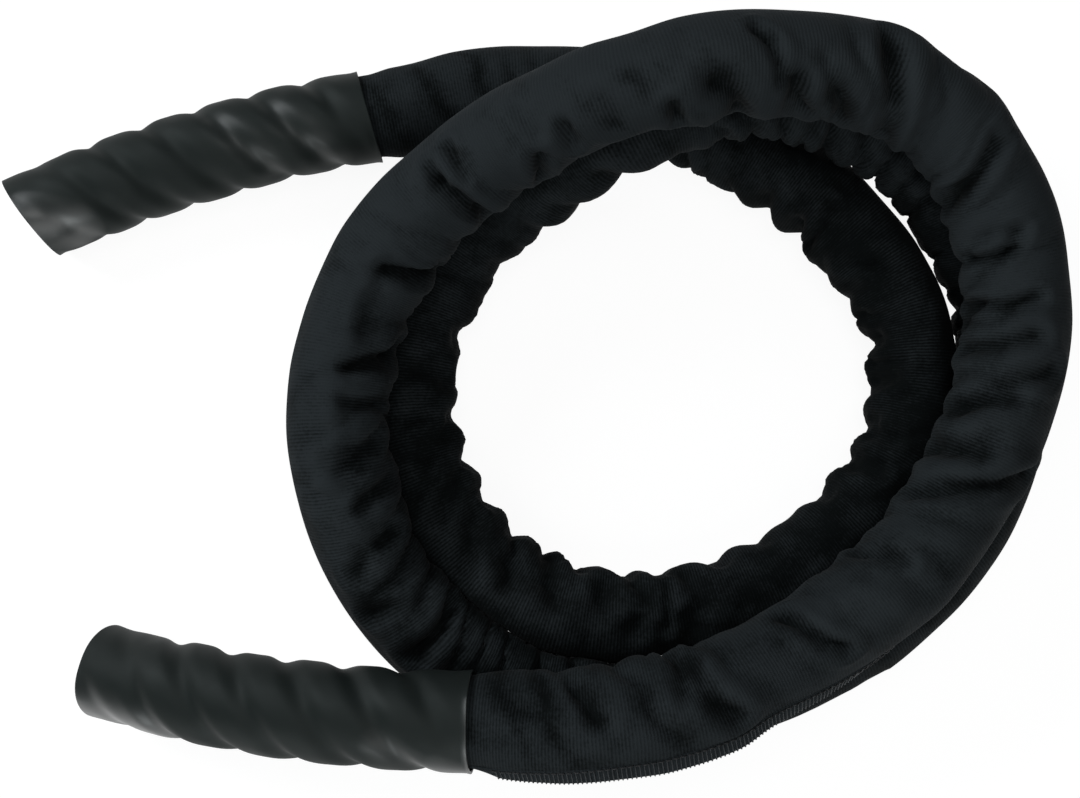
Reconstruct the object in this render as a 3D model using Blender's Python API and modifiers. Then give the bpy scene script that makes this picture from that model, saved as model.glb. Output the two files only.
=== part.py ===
"""Battle rope put down in a loose coil.

Three strands are laid right-handed into one rope. A woven sleeve covers the rope between two grips, and
each grip is a heat-shrunk tube over the bare lay, with the cut end bound by tape inside it.
Metres, +Z up. The origin is on the ground, under the middle of the whole outline.
"""
from math import asin, ceil, cos, pi, radians, sin

import bmesh
import bpy
from mathutils import Vector
from mathutils.bvhtree import BVHTree

MM = 0.001
TURN = 2 * pi
UP = Vector((0, 0, 1))

# Rope
rope_diameter = 38 * MM
lay_length = 76 * MM
strand_count = 3
strand_middle_share = 0.60
strand_radius_share = 0.38
lay_start = radians(40)

# Woven sleeve: a six-sided tube, snug on the rope
sleeve_wall = 1.2 * MM
sleeve_sides = 6

# Clearances
fit_gap = 0.3 * MM
turn_gap = 1.5 * MM
overrun = 5 * MM

# Grips, and the tape that binds the rope's cut ends inside them
grip_length = 178 * MM
grip_wall = 2.2 * MM
lobe_depth = 3.6 * MM
groove_power = 1.5
mouth_band = 6 * MM
end_recess = 4 * MM
binding_length = 24 * MM
binding_wall = 0.8 * MM
draw_in_length = 16 * MM
bound_share = 0.88

# Coil, walked from grip A to grip B
coil_radius = 165 * MM
coil_centre_x = 73 * MM
coil_centre_y = 10.3 * MM
coil_start = radians(255)
coil_sweep = radians(945)
points_per_turn = 24
rows_per_turn = 12

# Straight runs out of the coil, and the headings on which the grips go on
run_out_a = 52 * MM
run_out_b = 60 * MM
heading_a = radians(179)
heading_b = radians(190)
run_slope_a = radians(-5)
run_slope_b = radians(0.9)
grip_bend_a = radians(-11)
grip_bend_b = radians(14)

# Where the coil lies, at every thirtieth degree from its start: how many sleeve widths it is inside the
# outer radius, and its level, which is 0 on the ground, 1 on one turn and 2 on two. A level below 0 brings
# the turn down sooner and counts as 0. The last row is past the coil's end, and only bends the curve to it.
turn_shares = (
    (0.16, 1.09), (0.82, 1.01), (0.93, 1.00), (0.76, 1.02), (0.44, 1.08), (0.33, 1.56),
    (0.92, 2.06), (1.22, 2.10), (0.91, 1.42), (0.42, 0.88), (0.12, 0.73), (-0.02, 0.20),
    (0.28, -0.14), (0.54, 0.00), (0.60, 0.00), (0.46, 0.00), (0.34, 0.00), (0.31, 0.44),
    (0.86, 0.98), (1.33, 0.98), (1.17, 0.20), (1.07, 0.00), (1.00, 0.00), (1.04, 0.00),
    (1.35, 0.00), (1.60, 0.00), (1.64, 0.00), (1.50, 0.00), (1.40, 0.00), (1.45, 0.00),
    (1.24, 0.00), (0.62, 0.00), (-0.46, 0.00), (-3.10, 0.00),
)

# Sizes that follow
rope_radius = rope_diameter / 2
strand_middle = rope_radius * strand_middle_share
strand_radius = rope_radius * strand_radius_share
bore_flat = rope_radius + fit_gap
sleeve_flat = bore_flat + sleeve_wall
corner_factor = 1 / cos(pi / sleeve_sides)
sleeve_corner = sleeve_flat * corner_factor
bore_corner = bore_flat * corner_factor
sleeve_width = 2 * sleeve_flat
grip_radius = rope_radius + fit_gap + grip_wall
bound_radius = rope_radius * bound_share + binding_wall + 2 * fit_gap + grip_wall

# Heights of the sleeve's middle. On the ground it lies on a cut corner, and a turn above lies on its flats.
level_heights = (
    sleeve_flat,
    sleeve_flat + sleeve_corner + turn_gap + sleeve_flat,
    sleeve_flat + sleeve_corner + turn_gap + sleeve_flat + turn_gap + sleeve_width,
)

# Meshing, and how finely the least gap is searched
strand_points_per_lay = 6
strand_step = lay_length / strand_points_per_lay
grip_sides = 18
arm_steps = 8
merge_distance = 0.005 * MM
gap_samples = 6


def smooth(column, place):
    """Value of one column of the turn shares at a fractional row, on a curve through all rows."""
    row = min(int(place), len(turn_shares) - 2)
    part = place - row
    last = len(turn_shares) - 1
    before, here, after, beyond = (turn_shares[min(max(row + k, 0), last)][column] for k in (-1, 0, 1, 2))
    return 0.5 * (2 * here + (after - before) * part
                  + (2 * before - 5 * here + 4 * after - beyond) * part ** 2
                  + (3 * here - before - 3 * after + beyond) * part ** 3)


def level_height(level):
    """Height of the sleeve's middle at a level between 0 and 2."""
    level = max(level, 0)
    floor_level = min(int(level), 1)
    low, high = level_heights[floor_level:floor_level + 2]
    return low + (high - low) * (level - floor_level)


def coil_points():
    points = []
    for step in range(round(coil_sweep / TURN * points_per_turn) + 1):
        place = step * rows_per_turn / points_per_turn
        radius = coil_radius - smooth(0, place) * sleeve_width
        angle = coil_start + step * TURN / points_per_turn
        points.append(Vector((coil_centre_x + radius * cos(angle), coil_centre_y + radius * sin(angle),
                              level_height(smooth(1, place)))))
    return points


def step_along(heading, slope, length):
    return Vector((cos(heading) * cos(slope), sin(heading) * cos(slope), sin(slope))) * length


def arm_points(corner, heading, slope, straight, bend, end_height):
    """One rope end outwards from the coil: a straight run, then the grip on an even bend to its height."""
    points = [corner + step_along(heading, slope, straight)]
    dip = 2 * (asin((end_height - points[0].z) / grip_length) - slope)
    for step in range(arm_steps):
        part = step / (arm_steps - 1)
        points.append(points[-1] + step_along(heading + bend * part, slope + dip * part,
                                              grip_length / arm_steps))
    return points


class Route:
    """The rope's middle line as straight steps, with a frame of two cross directions at each point."""

    def __init__(self, points):
        self.points = points
        self.distances = [0]
        for here, after in zip(points, points[1:]):
            self.distances.append(self.distances[-1] + (after - here).length)
        self.length = self.distances[-1]
        steps = [(after - here).normalized() for here, after in zip(points, points[1:])]
        self.frames = []
        for before, after in zip(steps[:1] + steps, steps + steps[-1:]):
            ahead = (before + after).normalized()
            left = UP.cross(ahead).normalized()
            self.frames.append((left, ahead.cross(left)))

    def at(self, distance, left_offset, up_offset):
        """A point beside the line, inside the same straight-sided tube that the sleeve makes."""
        index = 0
        while index < len(self.points) - 2 and self.distances[index + 1] < distance:
            index += 1
        part = (distance - self.distances[index]) / (self.distances[index + 1] - self.distances[index])
        ends = [point + left * left_offset + up * up_offset
                for point, (left, up) in zip(self.points[index:index + 2], self.frames[index:index + 2])]
        return ends[0].lerp(ends[1], part)


def lay_angle(distance):
    """Angle of the first strand round the rope: right-handed, one turn in a lay."""
    return lay_start + TURN * distance / lay_length


def drawn_in(distance, ease=0):
    """How far the binding draws the rope together: 1 on the free rope, bound_share at its ends."""
    from_end = min(distance, route.length - distance) + ease
    part = (from_end - end_recess - binding_length) / draw_in_length
    return bound_share + (1 - bound_share) * min(max(part, 0), 1)


def new_object(name, data, material, collection=None):
    obj = bpy.data.objects.new(name, data)
    (collection or parts).objects.link(obj)
    if material:
        obj.data.materials.append(material)
        obj.parent = root
    return obj


def new_material(name, colour, roughness):
    material = bpy.data.materials.new(name)
    material.use_nodes = True
    shader = material.node_tree.nodes["Principled BSDF"]
    shader.inputs["Base Color"].default_value = (*colour, 1)
    shader.inputs["Roughness"].default_value = roughness
    shader.inputs["Metallic"].default_value = 0
    return material


def tube_curve(name, points, radius, rolls=None, swells=None):
    """A six-sided tube along the points, with filled caps."""
    curve = bpy.data.curves.new(name, "CURVE")
    curve.dimensions = "3D"
    curve.twist_mode = "Z_UP"
    curve.bevel_depth = radius
    curve.bevel_resolution = 1
    curve.use_fill_caps = True
    spline = curve.splines.new("POLY")
    spline.points.add(len(points) - 1)
    for index, point in enumerate(points):
        spline.points[index].co = (*point, 1)
        spline.points[index].tilt = rolls[index] if rolls else 0
        spline.points[index].radius = swells[index] if swells else 1
    return curve


def mesh_of_curve(curve, name):
    """The tube as a closed mesh that a Boolean can cut."""
    carrier = bpy.data.objects.new(name, curve)
    parts.objects.link(carrier)
    depsgraph = bpy.context.evaluated_depsgraph_get()
    mesh = bpy.data.meshes.new_from_object(carrier.evaluated_get(depsgraph))
    bpy.data.objects.remove(carrier)
    shape = bmesh.new()
    shape.from_mesh(mesh)
    bmesh.ops.remove_doubles(shape, verts=shape.verts, dist=merge_distance)
    bmesh.ops.recalc_face_normals(shape, faces=shape.faces)
    shape.to_mesh(mesh)
    shape.free()
    mesh.name = name
    return mesh


def cut(obj, cutter):
    modifier = obj.modifiers.new("cut_" + cutter.name, "BOOLEAN")
    modifier.operation = "DIFFERENCE"
    modifier.solver = "EXACT"
    modifier.object = cutter


def slab_below(name, height):
    """A cutter that takes away all that is lower than the height, under the whole coil."""
    reach = 2 * (coil_radius + run_out_b + grip_length)
    mesh = bpy.data.meshes.new(name)
    shape = bmesh.new()
    bmesh.ops.create_cube(shape, size=1)
    bmesh.ops.scale(shape, vec=(reach, reach, sleeve_width), verts=shape.verts)
    bmesh.ops.translate(shape, vec=(0, 0, height - sleeve_width / 2), verts=shape.verts)
    shape.to_mesh(mesh)
    shape.free()
    return hide_cutter(new_object(name, mesh, None, cutters))


def hide_cutter(obj):
    obj.hide_render = True
    obj.display_type = "WIRE"
    return obj


def shell(name, distances, radius_at, wall, material):
    """An open tube lofted round the line, thickened inwards to its wall."""
    mesh = bpy.data.meshes.new(name)
    shape = bmesh.new()
    rings = []
    for distance in distances:
        ring = []
        for side in range(grip_sides):
            angle = TURN * side / grip_sides
            radius = radius_at(distance, angle)
            ring.append(shape.verts.new(route.at(distance, radius * cos(angle), radius * sin(angle))))
        rings.append(ring)
    for near, far in zip(rings, rings[1:]):
        for side in range(grip_sides):
            after = (side + 1) % grip_sides
            shape.faces.new((near[side], near[after], far[after], far[side]))
    bmesh.ops.recalc_face_normals(shape, faces=shape.faces)
    shape.to_mesh(mesh)
    shape.free()
    mesh.shade_smooth()
    obj = new_object(name, mesh, material)
    solidify = obj.modifiers.new("wall", "SOLIDIFY")
    solidify.thickness = wall
    solidify.offset = -1
    solidify.use_even_offset = True
    return obj


def grip_surface(distance, angle):
    """Outer radius of a grip: it swells over each strand, and is round where bound and at its mouth.

    It swells half a strand step sooner than the strands do, so their straight steps stay inside it.
    """
    swollen = (drawn_in(distance, strand_step / 2) - bound_share) / (1 - bound_share)
    free = (drawn_in(distance) - bound_share) / (1 - bound_share)
    from_mouth = grip_length - min(distance, route.length - distance)
    lobed = min(max((from_mouth - mouth_band) / mouth_band, 0), 1)
    groove = (0.5 - 0.5 * cos(strand_count * (angle - lay_angle(distance)))) ** groove_power
    return bound_radius + (grip_radius - bound_radius) * swollen - lobe_depth * groove * lobed * free


def binding_surface(distance, angle):
    return rope_radius * bound_share + fit_gap + binding_wall


def spread(start, end, step):
    count = max(ceil(abs(end - start) / step), 1)
    return [start + (end - start) * k / count for k in range(count + 1)]


def make_sleeve():
    mouth_a = route.points[arm_steps]
    mouth_b = route.points[-1 - arm_steps]
    line = list(route.points[arm_steps:len(route.points) - arm_steps])
    into_a = (line[1] - mouth_a).normalized()
    into_b = (line[-2] - mouth_b).normalized()
    line[0] = mouth_a + into_a * fit_gap
    line[-1] = mouth_b + into_b * fit_gap
    rise = level_heights[1] - level_heights[0]
    rolls = [pi / sleeve_sides * (1 - min(max((point.z - level_heights[0]) / rise, 0), 1)) for point in line]
    bore_line = [line[0] - into_a * overrun] + line[1:-1] + [line[-1] - into_b * overrun]

    sleeve = new_object("sleeve", mesh_of_curve(tube_curve("sleeve", line, sleeve_corner, rolls), "sleeve"),
                        new_material("woven_sleeve", (0.012, 0.014, 0.015), 0.85))
    bore = new_object("sleeve_bore", mesh_of_curve(tube_curve("bore", bore_line, bore_corner, rolls), "bore"),
                      None, cutters)
    hide_cutter(bore)
    cut(bore, slab_below("bore_floor", sleeve_wall))
    cut(sleeve, slab_below("ground", 0))
    cut(sleeve, bore)
    print_least_gap(line, rolls)


def print_least_gap(line, rolls):
    """The least gap between the sleeve and its own far stretches, on points along its edges and flats."""
    sleeve_line = Route(line)
    rings = []
    for (left, up), point, roll in zip(sleeve_line.frames, line, rolls):
        corners = [point + (left * cos(TURN * side / sleeve_sides + roll)
                            + up * sin(TURN * side / sleeve_sides + roll)) * sleeve_corner
                   for side in range(sleeve_sides)]
        rings.append(corners)
    vertices = [corner for ring in rings for corner in ring]
    faces = [(ring * sleeve_sides + side, ring * sleeve_sides + (side + 1) % sleeve_sides,
              (ring + 1) * sleeve_sides + (side + 1) % sleeve_sides, (ring + 1) * sleeve_sides + side)
             for ring in range(len(rings) - 1) for side in range(sleeve_sides)]
    tree = BVHTree.FromPolygons(vertices, faces)
    near_steps = points_per_turn // 4
    least = sleeve_width
    for ring in range(len(rings) - 1):
        for side in range(sleeve_sides):
            after = (side + 1) % sleeve_sides
            for k in range(gap_samples):
                for across in (0, 0.5):
                    start = rings[ring][side].lerp(rings[ring][after], across)
                    end = rings[ring + 1][side].lerp(rings[ring + 1][after], across)
                    sample = start.lerp(end, k / gap_samples)
                    for _, _, face, gap in tree.find_nearest_range(sample, least):
                        if abs(face // sleeve_sides - ring) > near_steps:
                            least = min(least, gap)
    print(f"Rope {route.length * 1000:.0f} mm long, sleeve's least gap to itself {least * 1000:.2f} mm")


def make_strands():
    material = new_material("polyester_strand", (0.02, 0.02, 0.021), 0.6)
    start = end_recess
    end = route.length - end_recess
    distances = spread(start, end, strand_step)
    for strand in range(strand_count):
        points = []
        swells = [drawn_in(distance) for distance in distances]
        for distance, swell in zip(distances, swells):
            angle = lay_angle(distance) + TURN * strand / strand_count
            middle = strand_middle * swell
            points.append(route.at(distance, middle * cos(angle), middle * sin(angle)))
        name = f"strand_{strand + 1}"
        new_object(name, tube_curve(name, points, strand_radius, None, swells), material)


def make_ends():
    shrink = new_material("shrunk_grip", (0.02, 0.021, 0.023), 0.42)
    tape = new_material("binding_tape", (0.015, 0.015, 0.016), 0.5)
    for name, end, inwards in (("a", 0, 1), ("b", route.length, -1)):
        grip_stations = spread(end, end + inwards * grip_length, lay_length / grip_sides)
        shell("grip_" + name, grip_stations, grip_surface, grip_wall, shrink)
        tape_start = end + inwards * end_recess
        tape_stations = spread(tape_start, tape_start + inwards * binding_length, binding_length / 2)
        shell("end_binding_" + name, tape_stations, binding_surface, binding_wall, tape)


for old in list(bpy.data.objects):
    bpy.data.objects.remove(old)
parts = bpy.data.collections.new("battle_rope")
cutters = bpy.data.collections.new("cutters")
bpy.context.scene.collection.children.link(parts)
bpy.context.scene.collection.children.link(cutters)
root = bpy.data.objects.new("rope_root", None)
parts.objects.link(root)

coil = coil_points()
arm_a = arm_points(coil[0], heading_a, run_slope_a, run_out_a, grip_bend_a, bound_radius)
arm_b = arm_points(coil[-1], heading_b, run_slope_b, run_out_b, grip_bend_b, grip_radius)
route = Route(arm_a[::-1] + coil + arm_b)
make_sleeve()
make_strands()
make_ends()
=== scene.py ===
from math import asin, cos, pi, radians, sin

import bmesh
import bpy
import numpy as np
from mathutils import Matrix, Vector


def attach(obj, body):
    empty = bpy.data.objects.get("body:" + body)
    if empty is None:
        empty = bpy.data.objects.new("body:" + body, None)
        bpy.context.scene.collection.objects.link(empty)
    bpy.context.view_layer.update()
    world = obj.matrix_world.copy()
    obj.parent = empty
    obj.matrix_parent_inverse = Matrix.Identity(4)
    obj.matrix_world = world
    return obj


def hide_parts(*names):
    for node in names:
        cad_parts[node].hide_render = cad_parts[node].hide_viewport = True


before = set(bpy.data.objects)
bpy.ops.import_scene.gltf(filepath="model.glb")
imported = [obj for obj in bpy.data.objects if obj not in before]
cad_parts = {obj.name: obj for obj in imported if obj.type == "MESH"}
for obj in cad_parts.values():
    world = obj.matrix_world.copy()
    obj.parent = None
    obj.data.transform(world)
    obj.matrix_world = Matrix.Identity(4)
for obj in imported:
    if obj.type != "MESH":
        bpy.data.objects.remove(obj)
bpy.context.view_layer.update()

scene = bpy.context.scene
scene.view_settings.view_transform = "Standard"

# ---------------------------------------------------------------- Camera
# The coil is seen from almost straight above, from 0.8 m away. The view is tipped a little, so that the
# bottom of the picture is nearer. The frame is 1080 by 798.
MM = 0.001
view_centre = Vector((7.0, 3.3, 0)) * MM
view_distance = 800 * MM
view_tip = radians(6)
picture_width = 1080
focal_pixels = 1690

camera_data = bpy.data.cameras.new("photo_camera")
camera_data.sensor_width = 36
camera_data.lens = camera_data.sensor_width * focal_pixels / picture_width
camera = bpy.data.objects.new("photo_camera", camera_data)
scene.collection.objects.link(camera)
camera.location = view_centre + Vector((0, -sin(view_tip), cos(view_tip))) * view_distance
camera.rotation_euler = (view_tip, 0, 0)
scene.camera = camera

# ---------------------------------------------------------------- Route of the rope
# One rope of 38 mm lies in a loose coil of two and a half turns, and both ends run out of it to the left.
# Each row of the shares is thirty degrees further: how many sleeve widths inside the outer radius, and
# the level, which is 0 on the floor, 1 on one turn and 2 on two.
TURN = 2 * pi
rope_diameter = 38 * MM
lay_length = 76 * MM
lay_start = radians(40)
sleeve_room = 1.5 * MM
sleeve_flat = rope_diameter / 2 + sleeve_room
sleeve_corner = sleeve_flat / cos(pi / 6)
sleeve_width = 2 * sleeve_flat
turn_gap = 1.5 * MM
grip_length = 178 * MM
grip_steps = 8
grip_radius = 21.5 * MM
bound_radius = 20.32 * MM
coil_radius = 165 * MM
coil_centre = np.array((73, 10.3)) * MM
coil_start = radians(255)
coil_steps, steps_in_turn, steps_in_row = 64, 24, 2
turn_shares = np.array((
    (0.16, 1.09), (0.82, 1.01), (0.93, 1.00), (0.76, 1.02), (0.44, 1.08), (0.33, 1.56),
    (0.92, 2.06), (1.22, 2.10), (0.91, 1.42), (0.42, 0.88), (0.12, 0.73), (-0.02, 0.20),
    (0.28, -0.14), (0.54, 0.00), (0.60, 0.00), (0.46, 0.00), (0.34, 0.00), (0.31, 0.44),
    (0.86, 0.98), (1.33, 0.98), (1.17, 0.20), (1.07, 0.00), (1.00, 0.00), (1.04, 0.00),
    (1.35, 0.00), (1.60, 0.00), (1.64, 0.00), (1.50, 0.00), (1.40, 0.00), (1.45, 0.00),
    (1.24, 0.00), (0.62, 0.00), (-0.46, 0.00), (-3.10, 0.00),
))
level_heights = sleeve_flat + np.array((
    0,
    sleeve_corner + turn_gap + sleeve_flat,
    sleeve_corner + turn_gap + sleeve_flat + turn_gap + sleeve_width,
))
above_heights = 2 * level_heights[2] - level_heights[1]


def share_at(place):
    """Both shares at a fractional row, on a curve through all rows."""
    row = min(int(place), len(turn_shares) - 2)
    part = place - row
    before, here, after, beyond = (turn_shares[min(max(row + k, 0), len(turn_shares) - 1)]
                                   for k in (-1, 0, 1, 2))
    return 0.5 * (2 * here + (after - before) * part
                  + (2 * before - 5 * here + 4 * after - beyond) * part ** 2
                  + (3 * here - before - 3 * after + beyond) * part ** 3)


def rope_end(corner, heading, slope, straight, bend, end_height):
    """A rope end outwards from the coil: a straight run, then the grip on an even bend to its height."""
    def ahead(turned, rise, length):
        return np.array((cos(turned) * cos(rise), sin(turned) * cos(rise), sin(rise))) * length

    points = [corner + ahead(heading, slope, straight)]
    dip = 2 * (asin((end_height - points[0][2]) / grip_length) - slope)
    last = grip_steps - 1
    for step in range(grip_steps):
        points.append(points[-1] + ahead(heading + bend * step / last, slope + dip * step / last,
                                         grip_length / grip_steps))
    return points


def smooth_line(points, step, fine_steps=30):
    """Points every step along one smooth curve through the given points."""
    points = np.array(points)
    gaps = np.linalg.norm(np.diff(points, axis=0), axis=1)[:, None]
    slopes = np.diff(points, axis=0) / gaps
    inner = (slopes[:-1] * gaps[1:] + slopes[1:] * gaps[:-1]) / (gaps[:-1] + gaps[1:])
    tangents = np.vstack([slopes[:1], inner, slopes[-1:]])
    t = np.linspace(0, 1, fine_steps, endpoint=False)[:, None]
    fine = [(2 * t ** 3 - 3 * t ** 2 + 1) * points[k] + (t ** 3 - 2 * t ** 2 + t) * tangents[k] * gap
            + (3 * t ** 2 - 2 * t ** 3) * points[k + 1] + (t ** 3 - t ** 2) * tangents[k + 1] * gap
            for k, gap in enumerate(gaps[:, 0])]
    fine = np.vstack(fine + [points[-1:]])
    along = np.concatenate([[0], np.cumsum(np.linalg.norm(np.diff(fine, axis=0), axis=1))])
    even = np.linspace(0, along[-1], round(along[-1] / step) + 1)
    return even, np.stack([np.interp(even, along, fine[:, k]) for k in range(3)], axis=1)


def unit(vectors):
    """The same directions with a length of one."""
    return vectors / np.linalg.norm(vectors, axis=-1, keepdims=True)


coil = []
for step in range(coil_steps):
    inset, level = share_at(step / steps_in_row)
    radius = coil_radius - inset * sleeve_width
    angle = coil_start + step * TURN / steps_in_turn
    coil.append((coil_centre[0] + radius * cos(angle), coil_centre[1] + radius * sin(angle),
                 np.interp(level, (0, 1, 2, 3), (*level_heights, above_heights))))
end_a = rope_end(np.array(coil[0]), heading=radians(179), slope=radians(-5), straight=52 * MM,
                 bend=radians(-11), end_height=bound_radius)
end_b = rope_end(np.array(coil[-1]), heading=radians(190), slope=radians(0.9), straight=60 * MM,
                 bend=radians(14), end_height=grip_radius)
rope_along, rope_line = smooth_line(end_a[::-1] + coil + end_b, 1 * MM)
rope_length = rope_along[-1]
rope_ahead = unit(np.gradient(rope_line, rope_along, axis=0))
rope_left = unit(np.cross((0, 0, 1), rope_ahead))
rope_up = np.cross(rope_ahead, rope_left)
bend_window = 51
rope_bend = np.sum(np.gradient(rope_ahead, rope_along, axis=0) * rope_left, axis=1)
rope_bend = np.convolve(np.pad(rope_bend, bend_window // 2, "edge"),
                        np.ones(bend_window) / bend_window, "valid")


def along_rope(distance, values):
    """The rope's points or directions at distances from grip A's end."""
    return np.stack([np.interp(distance, rope_along, values[:, k]) for k in range(3)], axis=-1)


def beside(distance, angle, radius):
    """Points beside the rope's line: angle 0 is inside the bend, a quarter turn is on top."""
    distance, angle, radius = np.broadcast_arrays(distance, angle, radius)
    point, left, up = (along_rope(distance, values) for values in (rope_line, rope_left, rope_up))
    return point + left * (radius * np.cos(angle))[..., None] + up * (radius * np.sin(angle))[..., None]


def place_piece(name, mesh):
    """A finished mesh as a piece in the frame's own place, which rides on the rope's body."""
    mesh.shade_smooth()
    piece = bpy.data.objects.new(name, mesh)
    scene.collection.objects.link(piece)
    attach(piece, "root")
    return piece


def new_piece(name, points, faces, material):
    """A piece from its points, faces and material."""
    mesh = bpy.data.meshes.new(name)
    mesh.from_pydata(points, [], faces)
    mesh.materials.append(material)
    return place_piece(name, mesh)


# ---------------------------------------------------------------- Woven sleeve
# A tube of ribbed polyester cloth, sewn along its length and pulled over the rope between the grips.
# It is longer than the rope's inner side, so it is drawn into soft pillows there and lies smoother outside.
# Its two edges lie close to the rope and are held under the grips.
sleeve_sides = 72
sleeve_step = 1.95 * MM
sleeve_start = grip_length - 12 * MM
sleeve_end = rope_length - grip_length + 14 * MM
sleeve_radius = 20.7 * MM
edge_radius = 19.2 * MM
least_radius = 17 * MM
widest_cloth = 29.6 * MM
widest_ridge = 30.1 * MM
edge_length = 11 * MM
edge_slope = 13 * MM
mouth_b_shift = 4 * MM
full_bend = 6.5


def ease(share):
    """From 0 to 1 with a soft start and end."""
    share = np.clip(share, 0, 1)
    return share * share * (3 - 2 * share)


def centred(angle):
    """The same angle, between minus half a turn and half a turn."""
    return (angle + pi) % TURN - pi


def soft_noise(distance, angle, cell, cells_round, seed):
    """Smooth noise from -1 to 1 over the tube's surface, closed round the tube."""
    lattice = np.random.default_rng(seed).uniform(-1, 1, (int(rope_length / cell) + 3, cells_round))
    x = np.clip(distance, 0, rope_length) / cell
    y = (angle / TURN % 1) * cells_round
    xi, yi = np.floor(x).astype(int), np.floor(y).astype(int)
    xf, yf = ease(x - xi), ease(y - yi)
    near, far = yi % cells_round, (yi + 1) % cells_round
    return ((lattice[xi, near] * (1 - xf) + lattice[xi + 1, near] * xf) * (1 - yf)
            + (lattice[xi, far] * (1 - xf) + lattice[xi + 1, far] * xf) * yf)


def pillows(distance, angle, pitch, skew, seed, reach_low, reach_high):
    """Rows of round pillows with a sharp valley between them: how deep each point lies in a valley, 0 to 1,
    and how large its pillow is next to the others."""
    rng = np.random.default_rng(seed)
    count = int(rope_length / pitch) + 8
    places = np.cumsum(rng.uniform(0.55, 1.45, count) * pitch) - 3 * pitch
    reach = rng.uniform(reach_low, reach_high, count)
    depth = rng.uniform(0.55, 1.0, count)
    sway = rng.uniform(-0.16, 0.16, (2, count)) * pitch
    beat = rng.uniform(0, TURN, count)
    soft_end = 0.3
    deep = np.zeros_like(distance)
    large = np.zeros_like(distance)
    for side in range(distance.shape[1]):
        turned = centred(angle[0, side])
        lines = (places + skew * sleeve_radius * turned + sway[0] * np.sin(2 * turned + beat)
                 + sway[1] * np.sin(5 * turned + beat))
        near = np.searchsorted(lines, distance[:, side]) - 1
        fade = depth * np.clip((reach + soft_end - abs(turned) / pi) / soft_end, 0, 1)
        gap = lines[near + 1] - lines[near]
        part = (distance[:, side] - lines[near]) / gap
        fall = 1 - np.sin(pi * part) ** 0.75
        deep[:, side] = fall * np.where(part < 0.5, fade[near], fade[near + 1])
        large[:, side] = gap / pitch
    return deep, large


def fold_distance(distance, angle, line):
    """How far each place is, in millimetres, from a line of places along and round the rope."""
    nearest = np.full(distance.shape, 99.0)
    for s0, a0, s1, a1 in zip(line[::2], line[1::2], line[2::2], line[3::2]):
        run = np.array((s1 - s0, radians(a1 - a0) * sleeve_radius / MM))
        x = distance / MM - s0
        y = centred(angle - radians(a0)) * sleeve_radius / MM
        part = np.clip((x * run[0] + y * run[1]) / max(run @ run, 1e-6), 0, 1)
        nearest = np.minimum(nearest, np.hypot(x - part * run[0], y - part * run[1]))
    return nearest


rings = np.arange(sleeve_start, sleeve_end, sleeve_step)
rings = rings[:len(rings) // 2 * 2]
sides = np.arange(sleeve_sides) * TURN / sleeve_sides
distance, angle = np.meshgrid(rings, sides, indexing="ij")
ring_middle, ring_left, ring_up = (along_rope(rings, way) for way in (rope_line, rope_left, rope_up))
ring_ahead = np.cross(ring_left, ring_up)

# How tightly the rope bends, how far inside the bend each place is, and how free it is of the sleeve's edges
bend = np.interp(distance, rope_along, np.clip(rope_bend, 0, 12)) / full_bend
turned = abs(centred(angle))
inside = ease((radians(165) - turned) / radians(100))
from_mouth = np.minimum(distance - sleeve_start, sleeve_end + mouth_b_shift - distance)
snug = ease((from_mouth - edge_length) / edge_slope)
spare = np.clip(bend, 0, 1.1) * inside * snug

# The gathered cloth stands in pillows, which a table makes fuller or flatter along the rope. They are calmer
# in the two stretches, of a middle, half a length and a share, whose folds are read off the photograph.
warped = distance + 3.5 * MM * soft_noise(distance, angle, cell=26 * MM, cells_round=6, seed=17)
deep, large = pillows(warped, angle, pitch=20 * MM, skew=0.42, seed=11, reach_low=0.25, reach_high=1.0)
fine, _ = pillows(warped, angle, pitch=10 * MM, skew=0.42, seed=12, reach_low=0.05, reach_high=0.6)
loose = (1.3 * soft_noise(distance, angle, cell=42 * MM, cells_round=5, seed=14)
         + 0.6 * soft_noise(distance, angle, cell=20 * MM, cells_round=7, seed=15)) * MM
calm = 1
for middle, half, share in ((640, 430, 0.5), (2010, 340, 0.75)):
    calm = calm - share * np.clip(6 - 6 * abs(distance - middle * MM) / (half * MM), 0, 1)
full_places = np.array((1000, 1750, 1850, 1950, 2080, 2150, 2200, 2260, 2330, 2500)) * MM
full = np.interp(distance, full_places, (1.0, 0.6, -0.7, -0.4, -1.5, -0.8, -0.2, 0.3, 0.6, 0.8))
pillow_rise, large_pillow_rise, outer_rise = 2.6, 0.7, 1.2
valley_depth, large_valley_depth, small_valley_depth = 5.2, 2.2, 2.2
swell = pillow_rise * full + large_pillow_rise * (large - 1)
valleys = (valley_depth + large_valley_depth * large) * deep + small_valley_depth * fine * (1 - deep)
height = spare * MM * (swell - calm * valleys)
height += (outer_rise * MM * full * np.clip(bend, 0, 1) * snug
           * np.clip((radians(150) - turned) / radians(50), 0, 1))
deep *= calm

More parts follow.
